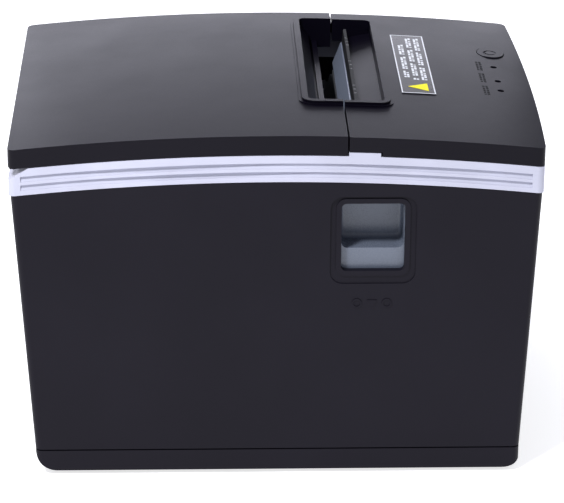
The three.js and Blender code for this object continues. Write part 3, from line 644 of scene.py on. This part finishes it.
def lamp_window(name, y):
    """A lamp's light guide, whose end lies a little under the cover's surface."""
    top = crown(LAMP_X, FRONT_TOP) - LAMP_SINK
    lamp = rod(name, (LAMP_X, y, (LAMP_LOW + top) / 2), 1.1, top - LAMP_LOW, sides=32)
    join(lamp, rod("shoulder", (LAMP_X, y, 121.9), 1.8, 1.4, sides=32))
    return soften(lamp, 0.25, 3)


# ---------------------------------------------------------------- lever, tear bar and small pieces
POCKET_BACK = -59.3
LEVER_WEB = [(10, 73.6), (30, 80), (34, 96), (26, 100), (8, 81.5)]


def lever():
    """A cup with a hollow for a fingertip, on the web and boss that turn with the lock shaft."""
    cup = rounded_block("lever", (20.4, 46.4), (-69.4, -57.8), (79.8, 108), 2, 1)
    reach = (-PAST, POCKET_BACK)
    pocket = rounded_block("pocket", (22.2, 44.6), reach, (88.5, 106.4), 2.2, 1, 8)
    edit(
        pocket,
        "EDGE",
        lambda e: min(v.co.y for v in e.verts) > (POCKET_BACK - 0.2) * MM,
        round_off(1.6, 6),
    )
    cut(cup, pocket)
    web = profile("web", LEVER_WEB, (-58, -55.6))
    join(cup, web, rod("boss", (12, -55.5, 78), 5, 5, ALONG_Y))
    cut(cup, rod("bore", (12, -53.5, 78), 2.8, 7, ALONG_Y))
    return soften(cup, 0.55, 4)


TOOTH_PITCH = 1.5
TOOTH_DEPTH = 1.0
BAR_ENDS = (-31, 59)
BAR_TOP = 129.7


def serrated_bar():
    """The tear bar, with teeth along its thin upper edge."""
    bar = block("serrated_bar", (28.3, 29.9), BAR_ENDS, (124.3, BAR_TOP))
    count = round((BAR_ENDS[1] - BAR_ENDS[0]) / TOOTH_PITCH) * 2 - 1
    edit(bar, "EDGE", along(1), lambda: bpy.ops.mesh.subdivide(number_cuts=count))

    def valley(vertex):
        step = round((vertex.co.y / MM - BAR_ENDS[0]) / (TOOTH_PITCH / 2))
        return vertex.co.z > (BAR_TOP - 0.1) * MM and step % 2 == 0

    edit(bar, "VERT", valley, move(z=-TOOTH_DEPTH))
    edit(
        bar,
        "VERT",
        lambda v: v.co.z > 128.5 * MM and v.co.x < 29 * MM,
        move(x=0.5),
    )
    return smooth(bar, 20)


def foot_pad(number, x, y):
    pad = rod(f"foot_pad_{number}", (x, y, 1.15), 6, 2.3, sides=56)
    cut(pad, rod("dimple", (x, y, 0.1), 3, 0.5, sides=40))
    return soften(pad, 0.45, 4)


def case_screw(number, x, y):
    screw = rod(f"case_screw_{number}", (x, y, 2.3), 2.9, 1.2, sides=40)
    join(screw, rod("shank", (x, y, 12.3), 1.4, 19.4, sides=20))
    cut(screw, block("slot", (x - 1.8, x + 1.8), (y - 0.35, y + 0.35), (1, 2.3)))
    cut(screw, block("slot", (x - 0.35, x + 0.35), (y - 1.8, y + 1.8), (1, 2.3)))
    return soften(screw, 0.16, 3)


ROLLER_PLACE = (13.5, 14.5, 98)


def roller():
    body = rod("roller", ROLLER_PLACE, 5.5, 83, ALONG_Y, 72)
    cut(body, rod("bore", ROLLER_PLACE, 2.8, 90, ALONG_Y, 48))
    return soften(body, 0.3)


# ---------------------------------------------------------------- printed marks
LABEL = (46.4, 59.0, -22.5, 46.5)
LABEL_LIFT = 0.06
LABEL_TOP = 0.26
INK_LIFT = 0.27
PRINT_DEPTH = 0.05


def merge(name, pieces):
    """Makes one object of several, which is the first of them."""
    take(pieces[0])
    for piece in pieces:
        piece.select_set(True)
    bpy.ops.object.join()
    pieces[0].name = name
    return pieces[0]


def printed(name, places, lift):
    """Thin printed marks that follow the arched cover."""
    marks = merge(name, [block("mark", x, y, (110, SKY)) for x, y in places])
    keep_common(marks, drum(FRONT_TOP + lift + PRINT_DEPTH))
    return cut(marks, drum(FRONT_TOP + lift))


def label_film():
    x0, x1, y0, y1 = LABEL
    film = arched_slab(
        "label_film", FRONT_TOP + LABEL_LIFT, FRONT_TOP + LABEL_TOP, (x0, x1), (y0, y1)
    )
    return smooth(film)


BORDER = 0.45
# Each row of the label: its x, the y where it starts and ends, and its number of marks.
LABEL_ROWS = ((48.6, -4.5, 35, 16), (51.9, -7, 43.5, 21), (55, -7, 43.5, 20))


def label_border():
    x0, x1, y0, y1 = LABEL
    return [
        ((x0, x0 + BORDER), (y0, y1)),
        ((x1 - BORDER, x1), (y0, y1)),
        ((x0 + BORDER, x1 - BORDER), (y0, y0 + BORDER)),
        ((x0 + BORDER, x1 - BORDER), (y1 - BORDER, y1)),
    ]


def label_marks():
    """Rows of paired bars that stand for writing and spell nothing, with a gap now and then."""
    bars = []
    for row, (x, start, end, count) in enumerate(LABEL_ROWS):
        step = (end - start) / count
        for i in range(count):
            if (i + 2 * row) % 7 == 3:
                continue
            y = start + i * step
            width = 0.55 + 0.22 * ((i + row) % 3)
            bars.append(((x, x + 0.85), (y, y + width * step)))
            bars.append(((x + 1.1, x + 2), (y, y + (1.35 - width) * step)))
    return bars


def label_print():
    return printed("label_print", label_border() + label_marks(), INK_LIFT)


def caution_triangle():
    """A plain triangle, with no sign in it."""
    x, y = 54.1, -15.2
    surface = crown(53.5, FRONT_TOP) + 0.3
    clear_selection()
    bpy.ops.mesh.primitive_cylinder_add(
        vertices=3,
        radius=4.9 * MM,
        depth=4 * MM,
        location=(x * MM, y * MM, surface * MM),
        rotation=(0, 0, math.pi / 2),
    )
    piece = added("caution_triangle")
    keep_common(piece, drum(FRONT_TOP + 0.36))
    return cut(piece, drum(FRONT_TOP + INK_LIFT))


CAPTIONS = (15.6, 1.7, -12.9)  # the middles of the three rows of marks


def lamp_captions():
    """Plain blocks beside the lamps where each has its caption."""
    places = []
    for middle in CAPTIONS:
        for i in range(5):
            y = middle - 5.3 + 2.2 * i
            places.append(((77.4, 78.2), (y, y + 1.1 + 0.25 * (i % 3))))
            places.append(((78.6, 79.5), (y, y + 1.6 - 0.25 * (i % 3))))
    return printed("lamp_captions", places, 0.02)


# ---------------------------------------------------------------- shader maths
class Value:
    """A shader socket that takes part in Python arithmetic."""

    def __init__(self, finish, socket):
        self.finish = finish
        self.socket = socket

    def _math(self, operation, *values):
        plain = [value.socket if isinstance(value, Value) else value for value in values]
        inputs = dict(enumerate(plain))
        node = self.finish.node("ShaderNodeMath", {"operation": operation}, inputs)
        return Value(self.finish, node.outputs[0])

    def __add__(self, other):
        return self._math("ADD", self, other)

    def __radd__(self, other):
        return self._math("ADD", other, self)

    def __sub__(self, other):
        return self._math("SUBTRACT", self, other)

    def __rsub__(self, other):
        return self._math("SUBTRACT", other, self)

    def __mul__(self, other):
        return self._math("MULTIPLY", self, other)

    def __rmul__(self, other):
        return self._math("MULTIPLY", other, self)

    def between(self, low, high):
        """0 below low, 1 above high, and smooth between them."""
        inputs = {"Value": self.socket, "From Min": low, "From Max": high}
        settings = {"interpolation_type": "SMOOTHSTEP"}
        node = self.finish.node("ShaderNodeMapRange", settings, inputs)
        return Value(self.finish, node.outputs["Result"])


PLASTIC_IOR = 1.46
# Where a Mix node has its factor and its colours.
MIX_FACTOR = 0
MIX_A = 6
MIX_B = 7
MIX_RESULT = 2


class Finish:
    """One material, built node by node on a Principled shader."""

    def __init__(self, name, metallic=0, specular=0.5, coat=0):
        self.material = bpy.data.materials.new(name)
        self.material.use_nodes = True
        self.tree = self.material.node_tree
        self.shader = self.tree.nodes["Principled BSDF"]
        self.shader.inputs["Metallic"].default_value = metallic
        self.shader.inputs["Specular IOR Level"].default_value = specular
        self.shader.inputs["IOR"].default_value = PLASTIC_IOR
        self.shader.inputs["Coat Weight"].default_value = coat
        self.place = self.node("ShaderNodeTexCoord").outputs["Object"]

    def node(self, kind, settings=None, inputs=None):
        node = self.tree.nodes.new(kind)
        for key, value in (settings or {}).items():
            setattr(node, key, value)
        for key, value in (inputs or {}).items():
            if isinstance(value, bpy.types.NodeSocket):
                self.tree.links.new(value, node.inputs[key])
            else:
                node.inputs[key].default_value = value
        return node

    def stretched(self, x, y, z):
        node = self.node("ShaderNodeMapping", None, {"Vector": self.place, "Scale": (x, y, z)})
        return node.outputs["Vector"]

    def noise(self, scale, detail=3, roughness=0.5, place=None):
        inputs = {
            "Vector": place or self.place,
            "Scale": scale,
            "Detail": detail,
            "Roughness": roughness,
        }
        return Value(self, self.node("ShaderNodeTexNoise", None, inputs).outputs["Fac"])

    def cells(self, scale, place):
        inputs = {"Vector": place, "Scale": scale}
        return Value(self, self.node("ShaderNodeTexVoronoi", None, inputs).outputs["Distance"])

    def mixed(self, amount, first, second):
        """The first colour where the amount is 0, and the second where it is 1."""
        inputs = {MIX_FACTOR: amount.socket, MIX_A: (*first, 1), MIX_B: (*second, 1)}
        return self.node("ShaderNodeMix", {"data_type": "RGBA"}, inputs).outputs[MIX_RESULT]

    def colour(self, socket):
        self.tree.links.new(socket, self.shader.inputs["Base Color"])

    def roughness(self, value):
        self.tree.links.new(value.socket, self.shader.inputs["Roughness"])

    def bump(self, height, depth_mm):
        inputs = {"Height": height.socket, "Distance": depth_mm * MM, "Strength": 1}
        node = self.node("ShaderNodeBump", None, inputs)
        self.tree.links.new(node.outputs["Normal"], self.shader.inputs["Normal"])


def tinted(colour, share):
    """The colour made darker, or lighter where the share is over 1."""
    return tuple(min(1, channel * share) for channel in colour)


def moulded(name, colour, rough, grain_mm, depth_mm, specular=0.5):
    """Spark-eroded moulded plastic: a fine grain, faint flow marks and a little handling sheen."""
    finish = Finish(name, specular=specular)
    grain = finish.noise(1 / (grain_mm * MM), 2, 0.55)
    flow = finish.noise(14, 4, 0.6)
    handled = finish.noise(38, 5, 0.65)
    finish.colour(finish.mixed(flow.between(0.3, 0.7), tinted(colour, 0.92), tinted(colour, 1.08)))
    finish.roughness(rough + (handled - 0.5) * 0.12 + (grain - 0.5) * 0.1)
    finish.bump(grain, depth_mm)
    return finish.material


def brushed(name, colour, rough, stretch, metallic=1.0):
    """Rolled or brushed metal, with its grain along one direction and a dull patina."""
    finish = Finish(name, metallic=metallic)
    lines = finish.noise(1, 4, 0.7, finish.stretched(*stretch))
    patina = finish.noise(60, 5, 0.6)
    finish.colour(finish.mixed(patina.between(0.35, 0.75), colour, tinted(colour, 0.78)))
    finish.roughness(rough + (lines - 0.5) * 0.25 + (patina - 0.5) * 0.15)
    finish.bump(lines, 0.004)
    return finish.material


def rubber(name, colour, rough):
    """Dull rubber with a fine grain and some dust on it."""
    finish = Finish(name, specular=0.3)
    grain = finish.noise(2600, 3, 0.6)
    dust = finish.noise(120, 5, 0.7)
    finish.colour(finish.mixed(dust.between(0.5, 0.85), colour, tinted(colour, 2.2)))
    finish.roughness(rough + (dust - 0.5) * 0.15)
    finish.bump(grain, 0.008)
    return finish.material


def circuit(name):
    """Green solder mask over fine copper tracks."""
    finish = Finish(name, specular=0.6)
    lines = finish.cells(420, finish.stretched(1, 1, 0.25))
    tracks = lines.between(0.28, 0.42)
    mask = finish.noise(90, 3)
    finish.colour(finish.mixed(tracks, (0.03, 0.17, 0.07), (0.012, 0.085, 0.035)))
    finish.roughness(0.32 + (mask - 0.5) * 0.2)
    finish.bump(tracks, 0.01)
    return finish.material


def lens(name):
    """A lamp's smoked, glossy end."""
    finish = Finish(name, specular=0.6, coat=0.6)
    haze = finish.noise(900, 2)
    finish.colour(finish.mixed(haze.between(0.4, 0.6), (0.006, 0.006, 0.007), (0.012, 0.012, 0.014)))
    finish.roughness(0.12 + haze * 0.08)
    finish.bump(haze, 0.002)
    return finish.material


def ink(name, colour, rough):
    """Screen-printed ink, slightly uneven in cover and sheen."""
    finish = Finish(name, specular=0.15)
    cover = finish.noise(1500, 3, 0.6)
    finish.colour(finish.mixed(cover.between(0.35, 0.75), colour, tinted(colour, 0.86)))
    finish.roughness(rough + (cover - 0.5) * 0.2)
    finish.bump(cover, 0.003)
    return finish.material


# One finish for each material slot of the frame's record.
FINISHES = {
    "case_plastic": moulded("case_plastic", (0.0080, 0.0071, 0.0118), 0.44, 0.4, 0.006, 0.115),
    "cover_plastic": moulded("cover_plastic", (0.0028, 0.0021, 0.0058), 0.33, 0.4, 0.006, 0.14),
    "band_plastic": moulded("band_plastic", (0.50, 0.51, 0.61), 0.38, 0.5, 0.003, 0.3),
    "lever_plastic": moulded("lever_plastic", (0.112, 0.131, 0.170), 0.28, 0.35, 0.006),
    "inner_plastic": moulded("inner_plastic", (0.010, 0.010, 0.012), 0.5, 0.5, 0.008, 0.4),
    "sheet_steel": brushed("sheet_steel", (0.27, 0.28, 0.30), 0.52, (90, 2500, 2500)),
    "aluminium": brushed("aluminium", (0.34, 0.35, 0.37), 0.5, (2200, 60, 2200)),
    "brass": brushed("brass", (0.52, 0.36, 0.14), 0.32, (1800, 1800, 300)),
    "roller_rubber": rubber("roller_rubber", (0.018, 0.018, 0.019), 0.62),
    "foot_rubber": rubber("foot_rubber", (0.014, 0.014, 0.015), 0.8),
    "gear_nylon": moulded("gear_nylon", (0.66, 0.64, 0.58), 0.42, 0.6, 0.004),
    "circuit_board": circuit("circuit_board"),
    "lamp_lens": lens("lamp_lens"),
    "label_print": moulded("label_film", (0.020, 0.020, 0.022), 0.3, 0.8, 0.002),
}
# The inks of the printed marks.
WHITE_INK = ink("white_ink", (0.80, 0.82, 0.86), 0.45)
YELLOW_INK = ink("yellow_ink", (0.92, 0.84, 0.02), 0.5)
DARK_INK = ink("dark_ink", (0.006, 0.006, 0.007), 0.5)

# Nodes that don't have their slot's finish. The tear bar's real piece differs from its slot's others;
# the cutter cover keeps its slot's blue-grey plastic, painted about half again lighter as painted light
# where light falls on it.
OWN_FINISH = {
    "tear_bar": brushed("blade_black", (0.045, 0.046, 0.05), 0.4, (2500, 120, 2500), 0.6),
    # Painted light: the slot's blue-grey plastic made about half again lighter, so that the guide looks
    # lit.
    "cutter_cover": moulded("guide_plastic_painted_light", (0.17, 0.195, 0.25), 0.32, 0.35, 0.006),
}

SLOT_OF = {row["node"]: row["material_slot"] for row in frame["record"]["subparts"]}
BODY_OF = {
    node: body for body, nodes in frame["record"]["behaviour"]["bodies"].items() for node in nodes
}


def finish_node(node):
    target = frame["nodes"][node]
    target.data.materials.clear()
    target.data.materials.append(FINISHES[SLOT_OF[node]])


def stand_for(piece, node):
    """The piece takes the node's place, body and finish."""
    piece.data.materials.clear()
    piece.data.materials.append(OWN_FINISH.get(node, FINISHES[SLOT_OF[node]]))
    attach(piece, BODY_OF[node])
    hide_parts(node)


def mark_on(piece, body, material):
    """A printed mark rides on the body that it is printed on."""
    smooth(piece)
    piece.data.materials.clear()
    piece.data.materials.append(material)
    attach(piece, body)


# ---------------------------------------------------------------- stage
EYE = (-30.78, -1009.35, 470.35)
YAW, PITCH, ROLL = 0.0338, 0.3869, 0.0072
SENSOR = 36
FOCAL = 181.0


def camera():
    """Looks a little down on the left side, from the middle of its length."""
    level = math.cos(PITCH)
    ahead = Vector((math.sin(YAW) * level, math.cos(YAW) * level, -math.sin(PITCH)))
    right = Vector((math.cos(YAW), -math.sin(YAW), 0))
    up = right.cross(ahead)
    rolled_right = right * math.cos(ROLL) + up * math.sin(ROLL)
    rolled_up = up * math.cos(ROLL) - right * math.sin(ROLL)
    data = bpy.data.cameras.new("camera")
    data.sensor_width = SENSOR
    data.lens = FOCAL
    data.clip_end = 20
    eye = bpy.data.objects.new("camera", data)
    bpy.context.collection.objects.link(eye)
    turn = Matrix((rolled_right, rolled_up, -ahead)).transposed()
    place = Matrix.Translation(Vector(EYE) * MM)
    eye.matrix_world = place @ turn.to_4x4()
    bpy.context.scene.camera = eye


def area_light(name, place, target, size, power, colour):
    """A soft light at a place, turned to a target, both in metres."""
    data = bpy.data.lights.new(name, "AREA")
    data.shape = "RECTANGLE"
    data.size, data.size_y = size
    data.energy = power
    data.color = colour
    lamp = bpy.data.objects.new(name, data)
    bpy.context.collection.objects.link(lamp)
    lamp.visible_camera = False
    lamp.location = place
    lamp.rotation_euler = (Vector(target) - Vector(place)).to_track_quat("-Z", "Y").to_euler()


FLOOR_Z = -0.0002
FLOOR_GLOW = 0.72
WORLD_TINT = (0.87, 0.88, 1.0, 1)
WORLD_STRENGTH = 0.42


def white_floor():
    clear_selection()
    bpy.ops.mesh.primitive_plane_add(size=8, location=(0, 0, FLOOR_Z))
    floor = added("floor")
    finish = Finish("floor_white", specular=0.2)
    tone = finish.noise(3, 2)
    finish.colour(finish.mixed(tone.between(0.3, 0.7), (0.86, 0.86, 0.87), (0.88, 0.88, 0.88)))
    finish.roughness(0.7 + (tone - 0.5) * 0.1)
    finish.shader.inputs["Emission Color"].default_value = (1, 1, 1, 1)
    finish.shader.inputs["Emission Strength"].default_value = FLOOR_GLOW
    floor.data.materials.append(finish.material)


def stage():
    """A white floor, a pale world and four soft lights."""
    white_floor()
    world = bpy.data.worlds.new("studio")
    world.use_nodes = True
    background = world.node_tree.nodes["Background"]
    background.inputs["Color"].default_value = WORLD_TINT
    background.inputs["Strength"].default_value = WORLD_STRENGTH
    bpy.context.scene.world = world
    area_light("key", (-0.45, -0.6, 1.1), (0, -0.05, 0.08), (0.2, 0.2), 15, (0.96, 0.96, 1))
    area_light("overhead", (-0.15, 0.25, 1.5), (0, 0, 0.1), (0.5, 0.5), 3, (0.9, 0.9, 1))
    area_light("back", (-0.05, 0.27, 0.185), (0, 0, 0.13), (0.4, 0.05), 0.2, (0.88, 0.88, 1))
    area_light("side", (-0.22, 0.3, 0.24), (-0.05, 0, 0.13), (0.2, 0.08), 0.07, (0.88, 0.88, 1))
    bpy.context.scene.view_settings.view_transform = "Standard"


# ---------------------------------------------------------------- assembly
# Nodes whose shape is right as it is, and the radius, in millimetres, that their edges get.
BROKEN_EDGES = {
    "paper_bucket": 0.4,
    "head_chassis": 0.2,
    "platen_holder": 0.25,
    "platen_bush_left": 0.15,
    "platen_bush_right": 0.15,
    "fixed_blade": 0.1,
    "platen_shaft": 0.15,
    "platen_gear": 0.08,
    "idler_gear": 0.08,
    "stepper_pinion": 0.08,
    "stepper_motor": 0.3,
    "print_head": 0.2,
    "lock_shaft": 0.2,
    "lock_hook_left": 0.15,
    "lock_hook_right": 0.15,
    "moving_blade": 0.1,
    "cutter_pinion": 0.08,
    "cutter_frame": 0.2,
    "cutter_gearbox": 0.3,
    "cutter_motor": 0.3,
    "cutter_cover": 0.3,
    "paper_sensor": 0.3,
    "io_plate": 0.15,
    "power_inlet": 0.25,
    "usb_port": 0.1,
    "network_port": 0.2,
    "drawer_port": 0.2,
    "switch_housing": 0.2,
    "power_rocker": 0.3,
    "hinge_pin_1": 0.2,
    "hinge_pin_2": 0.2,
    "main_board": 0.1,
    "interface_board": 0.1,
    "control_board": 0.1,
}

camera()
stage()

for node_name in frame["nodes"]:
    finish_node(node_name)

stand_for(case_shell(), "main_case")
stand_for(base_shell(), "base_tray")
stand_for(white_band(), "trim_band")
stand_for(rear_lid(), "paper_cover")
stand_for(front_lid(), "front_cover")
stand_for(feed_key(), "feed_button")
for lamp_name, lamp_y in LAMPS.items():
    stand_for(lamp_window(lamp_name + "_window", lamp_y), lamp_name)
stand_for(lever(), "lever_cup")
stand_for(serrated_bar(), "tear_bar")
stand_for(roller(), "platen_roller")
stand_for(label_film(), "info_label")
for number, place in enumerate(FEET, 1):
    stand_for(foot_pad(number, *place), f"foot_{number}")
for number, place in enumerate(SCREWS, 1):
    stand_for(case_screw(number, *place), f"base_screw_{number}")

for node_name, radius in BROKEN_EDGES.items():
    stand_for(fine_copy(node_name, radius), node_name)

mark_on(label_print(), "housing", WHITE_INK)
mark_on(caution_triangle(), "housing", YELLOW_INK)
mark_on(lamp_captions(), "housing", DARK_INK)
raised = lever_marks()
raised.data.materials.append(FINISHES["case_plastic"])
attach(raised, "housing")
